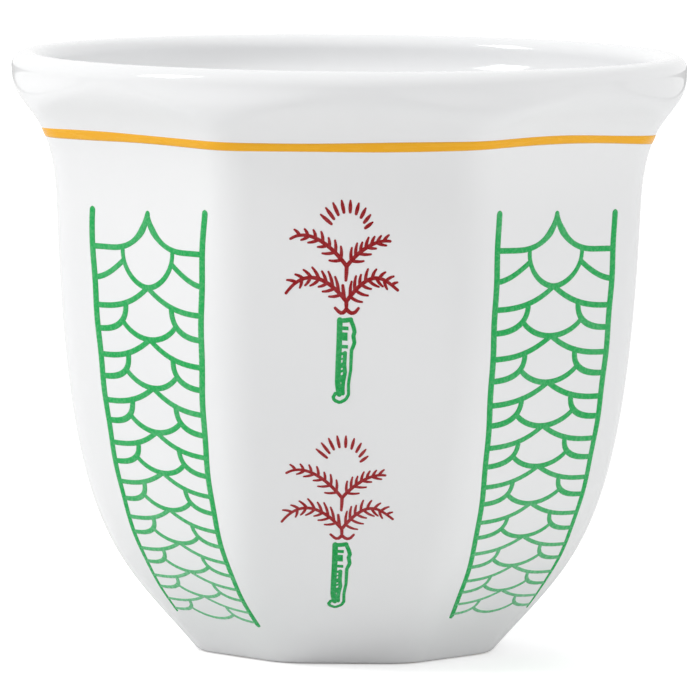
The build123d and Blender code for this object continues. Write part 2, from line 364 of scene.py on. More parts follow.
def template():
    """The whole template as distance, height and corner radius, from under the foot to the bowl's floor."""
    hub = np.array([0.0, RECESS_HEIGHT])
    recess = np.array([RECESS_RADIUS, RECESS_HEIGHT])
    ring_edge = np.array([FOOT_RING_INNER, 0.0])
    under = hub + (recess - hub) * np.linspace(0, UNDER_REACH, UNDER_POINTS)[:, None]
    heel = [rounded(hub, recess, ring_edge, HEEL_ROUNDING), rounded(recess, ring_edge, foot, HEEL_ROUNDING)]
    toe = rounded(ring_edge, foot, wall[LOW_WALL_POINT], FOOT_ROUNDING)
    climbing = outside[outside[:, 1] > toe[-1, 1] + TOE_GAP]
    turn = np.linspace(0, math.pi, CREST_POINTS)[1:-1]
    middle = lip - [LIP_RADIUS, 0]
    crest = middle + LIP_RADIUS * np.column_stack([np.cos(turn), np.sin(turn)])
    inside = np.concatenate([inner_flare[::-1], bowl[-2::-1]])
    outer = np.concatenate([toe, climbing])
    level = np.concatenate([under, *heel])
    line = np.concatenate([level, outer, crest, inside])
    corner = line[:, 0].copy()
    outer_rows = slice(len(level), len(level) + len(outer))
    corner[outer_rows] = corner_radius(outer[:, 1], outer[:, 0])
    return line[:, 0], line[:, 1], corner


def porcelain_body():
    """Surface of the body: at each level the ring of that level, turned into points round the axis."""
    apothem, height, corner = template()
    t = np.linspace(-1, 1, COLUMNS // SIDES, endpoint=False)
    swing = FACET / 2 * (t + CROWDING * np.sin(math.pi * t) / math.pi)
    angle = (np.arange(SIDES)[:, None] * FACET + swing).ravel()
    radius = ring(apothem[1:-1, None], corner[1:-1, None], angle)
    level = np.broadcast_to(height[1:-1, None], radius.shape)
    grid = np.stack([radius * np.sin(angle), -radius * np.cos(angle), level], axis=-1)
    points = np.concatenate([[[0, 0, height[0]]], grid.reshape(-1, 3), [[0, 0, height[-1]]]])
    rows = len(grid)
    round_trip = np.arange(COLUMNS)
    ahead = np.roll(round_trip, -1)
    last_row = 1 + (rows - 1) * COLUMNS
    first_fan = np.stack([np.zeros(COLUMNS, dtype=int), 1 + ahead, 1 + round_trip], axis=-1)
    last_fan = np.stack([last_row + round_trip, last_row + ahead, np.full(COLUMNS, len(points) - 1)], axis=-1)
    quads = 1 + closed_rows(rows, COLUMNS)
    return points, [*first_fan.tolist(), *quads.tolist(), *last_fan.tolist()]


body_points, body_faces = porcelain_body()
make_piece("porcelain_body", body_points, body_faces, porcelain, "cup_body", "porcelain")
print("porcelain body:", len(body_points), "points,", len(body_faces), "faces")

# %% [markdown]
# ## Laying a flat transfer on the wall
#
# The green and red figures are printed flat on paper and then slid onto the cup. So they are drawn flat here
# too, as distance across the facet and distance up the wall, and laid on afterwards. Up the wall the sheet
# follows the outline. Past the end of a flat it wraps round the corner without stretching.

# %% Lay the transfer
PEN_STEP = 0.2
LEAST_STEPS = 5
CAP_ANGLES = (84, 60, 36, 16)
COAT_THICKNESS = 0.045
# Section of a coat: share across from one edge to the other, and lift as a share of the thickness.
COAT_PROFILE = np.array([(-1, -0.4), (-1, 0.2), (-0.62, 0.85), (0, 1), (0.62, 0.85), (1, 0.2), (1, -0.4)])


def on_facet(turn, across, up, lift):
    """Point of the wall under a point of the transfer. Distance up the wall gives level, apothem and lean.
    Across, the sheet lies flat as far as the flat goes, then bends by spare length over corner radius.
    Lift raises it square to the wall, and the whole is turned about the axis by a number of facets."""
    apothem = np.interp(up, UP, OUT)
    height = np.interp(up, UP, RISE)
    slope = np.interp(up, UP, LEAN)
    corner = corner_radius(height, apothem)
    half_flat = (apothem - corner) * HALF_TAN
    bend = np.maximum(np.abs(across) - half_flat, 0) / corner
    proud = lift * np.cos(slope)
    out = apothem - corner + (corner + proud) * np.cos(bend)
    past_flat = np.sign(across) * (half_flat + (corner + proud) * np.sin(bend))
    side = np.where(bend > 0, past_flat, across)
    swing = turn * FACET
    x = side * math.cos(swing) + out * math.sin(swing)
    y = side * math.sin(swing) - out * math.cos(swing)
    return np.stack([x, y, height - lift * np.sin(slope)], axis=-1)


def even_steps(path, step):
    """The same path at even steps of its own length."""
    path = np.asarray(path, dtype=float)
    travel = np.concatenate([[0], np.cumsum(np.hypot(*np.diff(path, axis=0).T))])
    stops = np.linspace(0, travel[-1], max(int(travel[-1] / step), LEAST_STEPS) + 1)
    return np.column_stack([np.interp(stops, travel, path[:, 0]), np.interp(stops, travel, path[:, 1])])


def pen_line(path, widths, step=PEN_STEP):
    """Two edges of a pen line: the path moved to each side by half its width. Several widths are spread
    evenly along it. Both ends are round: beyond them the line narrows as the cosine of an angle while it runs
    on by the sine."""
    path = even_steps(path, step)
    along = np.gradient(path, axis=0)
    along /= np.linalg.norm(along, axis=1)[:, None]
    widths = np.atleast_1d(widths)
    half = np.interp(np.linspace(0, 1, len(path)), np.linspace(0, 1, len(widths)), widths) / 2
    angle = np.radians(CAP_ANGLES)[:, None]
    before = path[0] - along[0] * half[0] * np.sin(angle)
    after = path[-1] + along[-1] * half[-1] * np.sin(angle[::-1])
    path = np.concatenate([before, path, after])
    half = np.concatenate([half[0] * np.cos(angle[:, 0]), half, half[-1] * np.cos(angle[::-1, 0])])
    caps = len(CAP_ANGLES)
    along = np.concatenate([np.repeat(along[:1], caps, axis=0), along, np.repeat(along[-1:], caps, axis=0)])
    square = np.column_stack([-along[:, 1], along[:, 0]]) * half[:, None]
    return path + square, path - square


def fired_coat(lines, turn, shift, paleness):
    """Closed skins of enamel on a facet. A line's section is the coat's profile, a low dome between its two
    edges, with an underside just inside the glaze. Paleness is one value, or one for each line. Returns
    points, faces and two tags for each point: how near it is to an edge, and how pale its line is."""
    points, faces, edge, pale = [], [], [], []
    begin = 0
    around = len(COAT_PROFILE)
    share = (COAT_PROFILE[:, 0] + 1) / 2
    for (left, right), line_pale in zip(lines, np.broadcast_to(paleness, len(lines))):
        sheet = left[:, None] * (1 - share[:, None]) + right[:, None] * share[:, None]
        lift = np.broadcast_to(COAT_PROFILE[:, 1] * COAT_THICKNESS, sheet.shape[:2])
        points.append(on_facet(turn, sheet[..., 0] + shift, sheet[..., 1], lift).reshape(-1, 3))
        rows = len(left)
        loop = np.arange(around)
        faces += (begin + closed_rows(rows, around)).tolist()
        faces.append((begin + loop[::-1]).tolist())
        faces.append((begin + (rows - 1) * around + loop).tolist())
        edge.append(np.tile(np.abs(COAT_PROFILE[:, 0]), rows))
        pale.append(np.full(rows * around, line_pale))
        begin += rows * around
    return np.concatenate(points), faces, {"edge": np.concatenate(edge), "pale": np.concatenate(pale)}


print("a transfer can be laid on any of", SIDES, "facets")

# %% [markdown]
# ## Enamel
#
# Transfer colours are ground glass with pigment. They are dense in the middle of a line and thin out at its
# edges, they are a little uneven from firing, and some lines low on the cup, where the sheet was stretched
# over a tighter curve, came out paler. Two attributes of the mesh and noise give these three.

# %% The enamel finish
EDGE_START = 0.6
EDGE_PALE = 0.15
PIGMENT_GRAIN = 0.35
GRAIN_RANGE = (0.35, 0.75)
GRAIN_PALE = 0.22
CLOUD_SIZE = 4.5
CLOUD_RANGE = (0.4, 0.7)
CLOUD_PALE = 0.12
ENAMEL_ROUGHNESS = (0.22, 0.36)
ENAMEL_SHEEN = 0.2
RELIEF_DEPTH = 0.02


def enamel_finish(name, dense, thin):
    """Fired enamel. Its colour goes from dense to thin towards a line's edge, with the pigment's grain and
    with how pale the line is."""
    finish, tree, shader = new_finish(name)
    place = add_node(tree, "ShaderNodeTexCoord").outputs["Object"]
    edge = add_node(tree, "ShaderNodeAttribute", {"attribute_name": "edge"}).outputs["Fac"]
    rim = ramp(tree, edge, EDGE_START, 1.0, 0.0, EDGE_PALE)
    speckle = noise(tree, place, PIGMENT_GRAIN, detail=3, roughness=0.65)
    grain = ramp(tree, speckle, *GRAIN_RANGE, 0.0, GRAIN_PALE)
    cloud = ramp(tree, noise(tree, place, CLOUD_SIZE), *CLOUD_RANGE, 0.0, CLOUD_PALE)
    pale = add_node(tree, "ShaderNodeAttribute", {"attribute_name": "pale"}).outputs["Fac"]
    spread = math_node(tree, "ADD", math_node(tree, "ADD", rim, grain), math_node(tree, "ADD", cloud, pale))
    tree.links.new(blend_colour(tree, spread, dense, thin), shader.inputs["Base Color"])
    tree.links.new(ramp(tree, grain, 0.0, GRAIN_PALE, *ENAMEL_ROUGHNESS), shader.inputs["Roughness"])
    relief = add_node(tree, "ShaderNodeBump", Height=grain, Strength=0.3, Distance=RELIEF_DEPTH * MM)
    tree.links.new(relief.outputs[0], shader.inputs["Normal"])
    shader.inputs["IOR"].default_value = GLASS_IOR
    shader.inputs["Specular IOR Level"].default_value = ENAMEL_SHEEN
    return finish


column_green = enamel_finish("green_enamel", dense=(0.008, 0.42, 0.09), thin=(0.24, 0.62, 0.36))
trunk_green = enamel_finish("deep_green_enamel", dense=(0.008, 0.37, 0.075), thin=(0.2, 0.6, 0.34))
palm_red = enamel_finish("dark_red_enamel", dense=(0.31, 0.0, 0.003), thin=(0.55, 0.12, 0.13))
print("finishes", column_green.name, trunk_green.name, palm_red.name)

# %% [markdown]
# ## Fish-scale columns
#
# A column hangs between two rails. A pointed cusp at the top opens into the first scale, and below it nine
# rows of scales get smaller step by step. Every row is the same five lines: two shoulders that fall from the
# knot in the middle to the rails, two flanks that make the side scales, and a round belly that ends in the
# next knot. So one row is drawn in shares of its own width and height, and a loop scales it down the wall.
# From the fourth row on the lines get finer and paler row by row. Each sheet was laid a little askew by hand,
# and its lower half sits higher or lower on one side.

# %% Sizes of the columns
COLUMN_PLACES = {"front_right": 1, "back_right": 3, "back_left": 5, "front_left": 7}
# Half width and middle hold the value at the foot, the one at the top and the haste between them. Rise, sag
# and tops hold a value for the left side and one for the right. Faint is -1 for left and 1 for right.
COLUMN_LAWS = {
    "front_right": {
        "half": (5.3, 7.95, 2.5), "middle": (1.1, -0.25, 3.0),
        "rise": (0.66, 0.0), "sag": (0.0, 0.62), "tops": (0.0, 0.0), "faint": 1,
    },
    "back_right": {
        "half": (5.4, 7.75, 1.45), "middle": (0.4, 0.5, 1.0),
        "rise": (0.1, 0.3), "sag": (0.0, -0.3), "tops": (0.0, 0.2), "faint": -1,
    },
    "back_left": {
        "half": (5.4, 7.75, 1.45), "middle": (0.5, 0.4, 1.0),
        "rise": (0.2, 0.0), "sag": (0.0, 0.3), "tops": (0.2, 0.0), "faint": 1,
    },
    "front_left": {
        "half": (5.3, 7.6, 1.0), "middle": (0.35, 1.1, 0.5),
        "rise": (0.0, 0.15), "sag": (0.0, -0.68), "tops": (0.0, 0.4), "faint": -1,
    },
}
COLUMN_GAP = 0.3
COLUMN_TOP = WALL_LENGTH - COLUMN_GAP
COLUMN_FOOT = 5.75
RAIL_WIDTHS = (0.76, 0.78, 0.78, 0.72, 0.66, 0.58)
FAINT_RAIL_WIDTHS = (0.76, 0.77, 0.74, 0.64, 0.52, 0.3)
SCALE_WIDTH = 0.55
CUSP_WIDTHS = (0.6, 0.7, 0.8, 0.64, 0.54, *[SCALE_WIDTH] * 6)
CUSP_DROP = 3.4
FIRST_SCALE = 6.9
ROW_COUNT = 9
ROW_RATIO = 0.937
FULL_ROWS = 3
LAST_PALE = 0.6
PALE_POWER = 1.5
LAST_THINNING = 0.4
# Shapes: falls are shares of the scale's height, halves and starts are shares of the column's half width.
CUSP_REACH = 0.7
CUSP_POWERS = (2.6, 0.68)
ARM_CROWDING = 1.6
FIRST_FLANK_START = 0.44
FIRST_FLANK_TOP = 0.66
FIRST_FLANK_FALL = 0.26
FIRST_FLANK_POWER = 1.7
FIRST_BELLY_HALF = 0.45
FIRST_BELLY_TOP = 0.51
FIRST_BELLY_POWER = 1.1
SHOULDER_FALL = 0.43
SHOULDER_POWER = 2.6
FLANK_HALF = 0.56
FLANK_TOP = 0.35
FLANK_FALL = 0.54
FLANK_SWELL = 1.3
BELLY_HALF = 0.5
BELLY_TOP = 0.69
ARC_POWER = 0.8
DRIFT = 0.05
DRIFT_UP = 0.9
DRIFT_ACROSS = 3
RAIL_POINTS = 60
ARM_POINTS = 65
ARC_POINTS = 33
FIRST_BELLY_POINTS = 49
print("columns of", ROW_COUNT, "rows, from", COLUMN_FOOT, "to", round(COLUMN_TOP, 2), "mm up the wall")

# %% Draw the columns
def on_its_way(start, end, haste, share):
    """Value on its way from start to end. What is left of the way is (1 - share) to the power of haste, so a
    haste above 1 does most of it early and one below 1 does most of it late."""
    return end - (end - start) * (1 - share) ** haste


def fast_then_slow(share, power):
    """Share that starts fast and ends slow: 1 less what is left of it to a power."""
    return 1 - (1 - share) ** power


def column_lines(half, middle, rise, sag, tops, faint):
    """All lines of a column, from the laws of its half width and of its middle up the wall. Rise is how much
    higher than planned its left and right side were laid, sag what the lower half adds to that, tops how far
    each rail runs on above, and faint the side whose rail thins out. Shapes are falls, as shares of a row's
    height, against shares of the half width."""
    span = np.linspace(0, 1, ARC_POINTS)
    lines = []
    paleness = []

    def draw(across, up, widths=SCALE_WIDTH, pale=0.0):
        """Adds a line, from shares of the half width across and distances up the wall as planned."""
        share = np.clip((up - COLUMN_FOOT) / (COLUMN_TOP - COLUMN_FOOT), 0, 1)
        drift = DRIFT * np.sin(DRIFT_UP * up + DRIFT_ACROSS * across)
        place = across * on_its_way(*half, share) + on_its_way(*middle, share) + drift
        down = np.clip(2 * (1 - share), 0, 1)
        settled = down * down * (3 - 2 * down)
        laid = up + np.interp(across, (-1, 1), rise) + settled * np.interp(across, (-1, 1), sag)
        lines.append(pen_line(np.column_stack([place, laid]), widths))
        paleness.append(pale)

    for side, top in zip((-1, 1), tops):
        rail_widths = FAINT_RAIL_WIDTHS if side == faint else RAIL_WIDTHS
        rail = np.linspace(COLUMN_TOP + top, COLUMN_FOOT, RAIL_POINTS)
        draw(np.full(RAIL_POINTS, side), rail, rail_widths)
        arm = np.linspace(0, 1, ARM_POINTS) ** ARM_CROWDING
        cusp_fall = fast_then_slow(np.minimum(arm / CUSP_REACH, 1), CUSP_POWERS[0]) ** CUSP_POWERS[1]
        draw(side * arm, COLUMN_TOP - CUSP_DROP * cusp_fall, CUSP_WIDTHS)
        first_flank = FIRST_FLANK_START + (1 - FIRST_FLANK_START) * span
        first_fall = FIRST_FLANK_TOP + FIRST_FLANK_FALL * fast_then_slow(span, FIRST_FLANK_POWER)
        draw(side * first_flank, COLUMN_TOP - FIRST_SCALE * first_fall)
    swing = np.linspace(-math.pi / 2, math.pi / 2, FIRST_BELLY_POINTS)
    bulge = FIRST_BELLY_HALF * np.sign(swing) * np.abs(np.sin(swing)) ** FIRST_BELLY_POWER
    draw(bulge, COLUMN_TOP - FIRST_SCALE * (FIRST_BELLY_TOP + (1 - FIRST_BELLY_TOP) * np.cos(swing)))
    knot = COLUMN_TOP - FIRST_SCALE
    first_row = (knot - COLUMN_FOOT) * (1 - ROW_RATIO) / (1 - ROW_RATIO**ROW_COUNT)
    quarter = span * math.pi / 2
    for k in range(ROW_COUNT):
        row = first_row * ROW_RATIO**k
        beyond = max(k + 1 - FULL_ROWS, 0) / (ROW_COUNT - FULL_ROWS)
        pale = LAST_PALE * beyond**PALE_POWER
        width = SCALE_WIDTH * (1 - LAST_THINNING * beyond)
        for side in (-1, 1):
            shoulder_fall = SHOULDER_FALL * fast_then_slow(span, SHOULDER_POWER)
            draw(side * span, knot - row * shoulder_fall, width, pale)
            flank = 1 - FLANK_HALF * np.cos(quarter) ** ARC_POWER
            flank_fall = FLANK_TOP + FLANK_FALL * np.sin(quarter) ** ARC_POWER
            draw(side * flank, knot - row * flank_fall, (FLANK_SWELL * width, width), pale)
        belly = np.sin(2 * quarter - math.pi / 2)
        belly_fall = BELLY_TOP + (1 - BELLY_TOP) * (1 - belly**2) ** ARC_POWER
        draw(BELLY_HALF * belly, knot - row * belly_fall, width, pale)
        knot -= row
    return lines, paleness


for place, turn in COLUMN_PLACES.items():
    lines, paleness = column_lines(**COLUMN_LAWS[place])
    points, faces, tags = fired_coat(lines, turn, 0.0, paleness)
    node = f"scale_column_{place}"
    make_piece(f"scales_{place}", points, faces, column_green, node, "green_enamel", **tags)
    print("column", place, len(lines), "lines,", len(faces), "faces")

# %% [markdown]
# ## Palm crowns
#
# Each palm has a fan of nine short rays, two pairs of fronds on a thin stem, and two small curls where the
# stem meets the trunk. A frond is a curved rib with leaflets on both sides. The leaflets are drawn by rule:
# they stand at even places along the rib, turned from it by an angle that changes from root to tip, bend a
# little towards the tip and get shorter on the way there.

# %% Sizes of the crowns
PALM_PLACES = {"front": 0, "right": 2, "back": 4, "left": 6}
# Base is how far up the wall a palm starts and shift how far it is laid aside. Weight scales its widths and
# stretch its heights.
PALM_LEVELS = {
    "upper": {"base": 29.58, "shift": -0.29, "stretch": 1.0, "weight": 1.02, "fan": 0.07, "pale": 0.0},
    "lower": {"base": 7.9, "shift": -0.52, "stretch": 0.962, "weight": 0.88, "fan": 0.25, "pale": 0.1},
}
RIB_WIDTHS = np.array([0.39, 0.37, 0.28])
LEAFLET_WIDTHS = np.array([0.31, 0.31, 0.2])
RAY_WIDTHS = np.array([0.28, 0.36, 0.33, 0.18])
RIB_POINTS = 41
RIB_STEP = 0.15
LEAFLET_POINTS = 7
LEAFLET_VARIETY = 0.12
VARIETY_WAVE = 2.4
LEAFLET_BEND = (1.15, 0.45)
FINE_STEP = 0.12
RAY_COUNT = 9
RAY_LENGTHS = (1.3, 0.84)
RAY_LEAN = 0.85
RAY_TILT = 4
FAN_MIDDLE = np.array([0.05, 15.75])
FAN_ENDS = (-53, 65)
FAN_TOP = 4
FAN_HALF = 56
FAN_RADIUS = 2.26
FAN_FLATTENING = 0.36

# A rib is the four points of a cubic curve. Reach, length and angle go from a value at the root to one at the
# tip.
FRONDS = (
    {
        "rib": ((0, 13.0), (-1.6, 15.2), (-3.7, 16.55), (-5.2, 15.55)),
        "above": {"count": 7, "reach": (0.14, 0.86), "length": (1.15, 0.65), "angle": (-44, -60)},
        "below": {"count": 5, "reach": (0.12, 0.72), "length": (1.15, 0.85), "angle": (58, 44)},
    },
    {
        "rib": ((0, 13.0), (0.8, 14.1), (2.45, 15.6), (4.0, 15.37)),
        "above": {"count": 7, "reach": (0.14, 0.88), "length": (1.2, 0.65), "angle": (43, 48)},
        "below": {"count": 4, "reach": (0.14, 0.74), "length": (1.15, 0.85), "angle": (-54, -38)},
    },
    {
        "rib": ((0, 9.7), (-1.25, 11.35), (-3.6, 13.35), (-5.6, 10.45)),
        "above": {"count": 7, "reach": (0.16, 0.8), "length": (1.5, 0.8), "angle": (-34, -54)},
        "below": {"count": 6, "reach": (0.12, 0.72), "length": (1.1, 0.85), "angle": (62, 60)},
    },
    {
        "rib": ((0, 9.7), (2.4, 13.15), (3.55, 11.8), (4.75, 10.8)),
        "above": {"count": 8, "reach": (0.1, 0.88), "length": (1.4, 0.65), "angle": (35, 72)},
        "below": {"count": 6, "reach": (0.1, 0.74), "length": (1.25, 0.95), "angle": (-84, -50)},
    },
)
STEMS = (
    ((0, 13.0), (-0.02, 12.3), (-0.06, 11.7)),
    ((0, 9.7), (0.01, 9.3), (0.01, 8.95)),
    ((-0.22, 9.95), (-0.28, 10.6), (-0.34, 11.2)),
    ((0.01, 8.98), (-0.2, 8.7), (-0.42, 8.58), (-0.68, 8.72), (-1.03, 9.08)),
    ((0.01, 8.98), (0.28, 8.7), (0.58, 8.58), (0.84, 8.7), (1.12, 9.06)),
)
print("crowns of", RAY_COUNT, "rays and", len(FRONDS), "fronds, on", len(PALM_PLACES), "facets")

# %% Draw the crowns
def leaflets(rib, weight, count, reach, length, angle):
    """Leaflets on one side of a rib: at even shares of it, turned from its direction by an angle that goes
    from one value at the root to another at the tip, and bent towards the tip as they grow."""
    stops = np.linspace(reach[0], reach[1], count) * (len(rib) - 1)
    index = np.arange(len(rib))
    roots = np.column_stack([np.interp(stops, index, rib[:, 0]), np.interp(stops, index, rib[:, 1])])
    slope = np.gradient(rib, axis=0)
    heading = np.arctan2(np.interp(stops, index, slope[:, 1]), np.interp(stops, index, slope[:, 0]))
    variety = LEAFLET_VARIETY * np.sin(VARIETY_WAVE * np.arange(count))
    sizes = np.linspace(length[0], length[1], count) * (1 + variety)
    turns = np.radians(np.linspace(angle[0], angle[1], count))
    t = np.linspace(0, 1, LEAFLET_POINTS)
    bent = LEAFLET_BEND[0] - LEAFLET_BEND[1] * t
    for root, way, size, turn in zip(roots, heading, sizes, turns):
        bend = way + turn * bent
        travel = np.cumsum(np.column_stack([np.cos(bend), np.sin(bend)]), axis=0)
        drawn = root + size * travel / LEAFLET_POINTS
        yield pen_line(np.vstack([root, drawn]), LEAFLET_WIDTHS * weight, step=FINE_STEP)


def rays(weight, fan):
    """Fan of rays, laid higher by a distance. They stand at even angles round its middle, a little nearer at
    both ends than on top, lean not quite outward, and get shorter from left to right."""
    place = np.linspace(*FAN_ENDS, RAY_COUNT)
    inner = FAN_RADIUS - FAN_FLATTENING * ((place - FAN_TOP) / FAN_HALF) ** 2
    lean = np.radians(RAY_LEAN * place - RAY_TILT)
    place = np.radians(place)
    length = np.linspace(*RAY_LENGTHS, RAY_COUNT)
    starts = FAN_MIDDLE + [0, fan] + inner[:, None] * np.column_stack([np.sin(place), np.cos(place)])
    ends = starts + length[:, None] * np.column_stack([np.sin(lean), np.cos(lean)])
    return [pen_line([start, end], RAY_WIDTHS * weight, step=FINE_STEP) for start, end in zip(starts, ends)]


def set_up(lines, base, stretch):
    """The same lines with their heights stretched and counted from the foot's edge of the cup."""
    return [(left * [1, stretch] + [0, base], right * [1, stretch] + [0, base]) for left, right in lines]


def crown_lines(weight, fan):
    """Rays, fronds, stems and curls of a palm, above the foot of its trunk. Weight scales all widths, and fan
    is how much higher than planned the rays were laid."""
    lines = rays(weight, fan)
    for frond in FRONDS:
        rib = even_steps(cubic(*np.array(frond["rib"], dtype=float), RIB_POINTS), RIB_STEP)
        lines.append(pen_line(rib, RIB_WIDTHS * weight))
        lines += leaflets(rib, weight, **frond["above"])
        lines += leaflets(rib, weight, **frond["below"])
    return lines + [pen_line(stem, RIB_WIDTHS * weight) for stem in STEMS]


for level, spot in PALM_LEVELS.items():
    lines = set_up(crown_lines(spot["weight"], spot["fan"]), spot["base"], spot["stretch"])
    for place, turn in PALM_PLACES.items():
        points, faces, tags = fired_coat(lines, turn, spot["shift"], spot["pale"])
        name = f"{place}_{level}"
        make_piece(f"crown_{name}", points, faces, palm_red, f"palm_crown_{name}", "dark_red_enamel", **tags)
    print("crowns", level, len(lines), "lines each,", len(faces), "faces")

# %% [markdown]
# ## Palm trunks
#
# The trunk is a leaning stem of solid green with rough bark cut into it: open notches high up, short slanting
# slits lower down. A thin outline stands a little off its right side, runs round under the end and hooks up
# on the left. The solid part is a left strip, a right strip and the bars between them, so that the notches
# and slits stay bare porcelain.

# %% Draw the trunks
# Teeth have a low edge, a high edge and a reach across. The bars below them have the two edges.
TEETH = ((7.0, 7.36, 0.22), (6.02, 6.8, 0.14), (5.28, 5.62, 0.18))
LOW_BARS = ((4.62, 4.92), (4.2, 4.38), (3.42, 3.95), (3.0, 3.28), (2.1, 2.78), (0.85, 1.9))
LEFT_STRIP = ((-0.59, 7.95), (-0.63, 5.7), (-0.7, 3.6), (-0.74, 2.0), (-0.64, 1.3), (-0.58, 0.95))
RIGHT_STRIP = ((-0.08, 4.85), (-0.13, 3.7), (-0.06, 3.0), (-0.22, 2.15), (-0.28, 1.4), (-0.25, 1.0))
TOP_BAND = ((-0.62, 7.88), (0.0, 7.93), (0.42, 8.0))
OUTLINE = (
    *((0.42, 8.0), (0.68, 7.34), (0.79, 6.87), (0.68, 6.45), (0.79, 5.8), (0.52, 5.1), (0.49, 4.3)),
    *((0.46, 3.2), (0.34, 2.5), (0.27, 1.9), (0.28, 0.9), (0.04, 0.44)),
    *((-0.52, 0.13), (-1.06, 0.36), (-1.14, 0.65), (-0.94, 1.0)),
)
OUTLINE_WIDTHS = (0.4, 0.4, 0.34, 0.3, 0.3, 0.32, 0.34)
LEFT_WIDTH = 0.54
RIGHT_WIDTH = 0.38
TOP_WIDTH = 0.46
BARK_LEFT = -0.6
BAR_POINTS = 6
TOOTH_TILT = -0.04
LOW_BAR_REACH = -0.1
LOW_BAR_TILT = 0.2


def bar(low, high, reach, tilt):
    """Slanting bar of bark from the left strip to a reach across, as two edges."""
    across = np.linspace(0, 1, BAR_POINTS)
    run = BARK_LEFT + (reach - BARK_LEFT) * across
    rise = tilt * (across - 0.5)
    return np.column_stack([run, high + rise]), np.column_stack([run, low + rise])


def trunk_lines():
    """Strips, bars and outline of a trunk, above its foot."""
    strips = ((LEFT_STRIP, LEFT_WIDTH), (RIGHT_STRIP, RIGHT_WIDTH), (TOP_BAND, TOP_WIDTH))
    lines = [pen_line(path, width) for path, width in strips]
    lines += [bar(low, high, reach, TOOTH_TILT) for low, high, reach in TEETH]
    lines += [bar(low, high, LOW_BAR_REACH, LOW_BAR_TILT) for low, high in LOW_BARS]
    return lines + [pen_line(OUTLINE, OUTLINE_WIDTHS)]


for level, spot in PALM_LEVELS.items():
    lines = set_up(trunk_lines(), spot["base"], spot["stretch"])
    for place, turn in PALM_PLACES.items():
        points, faces, tags = fired_coat(lines, turn, spot["shift"], 0.0)
        name = f"{place}_{level}"
        make_piece(f"trunk_{name}", points, faces, trunk_green, f"palm_trunk_{name}", "green_enamel", **tags)
    print("trunks", level, len(lines), "lines each,", len(faces), "faces")

# %% [markdown]
# ## The amber line
#
# The line is painted with a brush while the cup turns on a wheel, so it closes on itself but is not quite
# level and not quite even. It is a low dome carried once round the cup. Its height follows a few smooth humps
# and its width slow waves, all of them periodic, so that the end meets the start.

# %% The amber finish
AMBER_DEEP = (0.97, 0.46, 0.012)
AMBER_BRIGHT = (0.98, 0.49, 0.02)
AMBER_EDGE = (0.97, 0.62, 0.16)
STREAK_SIZE = 3.5
STREAK_SQUEEZE = 9
AMBER_EDGE_PALE = 0.2
AMBER_ROUGHNESS = (0.18, 0.3)
AMBER_SHEEN = 0.25


def amber_finish():
    """Amber lustre: a warm glaze colour with streaks that the brush left along the line."""
    finish, tree, shader = new_finish("amber_lustre")
    place = add_node(tree, "ShaderNodeTexCoord").outputs["Object"]
    stretch = add_node(tree, "ShaderNodeMapping", Vector=place)
    stretch.inputs["Scale"].default_value = (1, 1, STREAK_SQUEEZE)
    streak = ramp(tree, noise(tree, stretch.outputs[0], STREAK_SIZE, detail=3), *MOST_NOISE)
    edge = add_node(tree, "ShaderNodeAttribute", {"attribute_name": "edge"}).outputs["Fac"]
    body_colour = blend_colour(tree, streak, AMBER_DEEP, AMBER_BRIGHT)
    rim = ramp(tree, edge, EDGE_START, 1.0, 0.0, AMBER_EDGE_PALE)
    tree.links.new(blend_colour(tree, rim, body_colour, AMBER_EDGE), shader.inputs["Base Color"])
    tree.links.new(ramp(tree, streak, 0, 1, *AMBER_ROUGHNESS), shader.inputs["Roughness"])
    brushed = add_node(tree, "ShaderNodeBump", Height=streak, Strength=0.3, Distance=RELIEF_DEPTH * MM)
    tree.links.new(brushed.outputs[0], shader.inputs["Normal"])
    shader.inputs["Specular IOR Level"].default_value = AMBER_SHEEN
    return finish


amber = amber_finish()
print("finish", amber.name, "with", len(amber.node_tree.nodes), "nodes")

# %% Paint the amber line
LINE_COLUMNS = 960
LINE_WIDTH = 0.84
LINE_DROP = 0.12
# Humps have a height, a place and a spread in degrees. Waves have a share of the width, a number of times
# round and a start.
LINE_HUMPS = ((0.5, 40, 19), (0.2, -45, 15), (-0.4, 75, 16.5), (0.2, 150, 25), (-0.1, 215, 20))
LINE_WAVES = ((0.08, 5, 0.4), (0.05, 11, 0.0))


def hump(angle, place, spread):
    """Smooth hump of height 1 at a place round the cup: e to the power of (cosine of the way there - 1) over
    the spread squared. It is periodic, so the line still meets its start. Place and spread are in degrees."""
    return np.exp((np.cos(angle - math.radians(place)) - 1) / math.radians(spread) ** 2)


def amber_band():
    """Band round the cup: at each angle the wall's own ring radius, with a domed section along the wall."""
    angle = np.linspace(0, 2 * math.pi, LINE_COLUMNS, endpoint=False)[:, None]
    low, high = node_box("amber_line")
    middle = (low[2] + high[2]) / 2
    wobble = sum(size * hump(angle, place, spread) for size, place, spread in LINE_HUMPS) - LINE_DROP
    swell = sum(size * np.sin(times * angle + start) for size, times, start in LINE_WAVES)
    width = LINE_WIDTH * (1 + swell)
    height = middle + wobble - COAT_PROFILE[:, 0] * width / 2
    apothem = np.interp(height, RISE, OUT)
    slope = np.interp(height, RISE, LEAN)
    lift = COAT_PROFILE[:, 1] * COAT_THICKNESS
    radius = ring(apothem, corner_radius(height, apothem), angle) + lift * np.cos(slope)
    level = height - lift * np.sin(slope)
    grid = np.stack([radius * np.sin(angle), -radius * np.cos(angle), level], axis=-1)
    grid = np.concatenate([grid, grid[:1]])
    around = len(COAT_PROFILE)
    quads = closed_rows(LINE_COLUMNS + 1, around) % (LINE_COLUMNS * around)
    edge = np.tile(np.abs(COAT_PROFILE[:, 0]), LINE_COLUMNS)
    return grid[:-1].reshape(-1, 3), quads.tolist(), edge


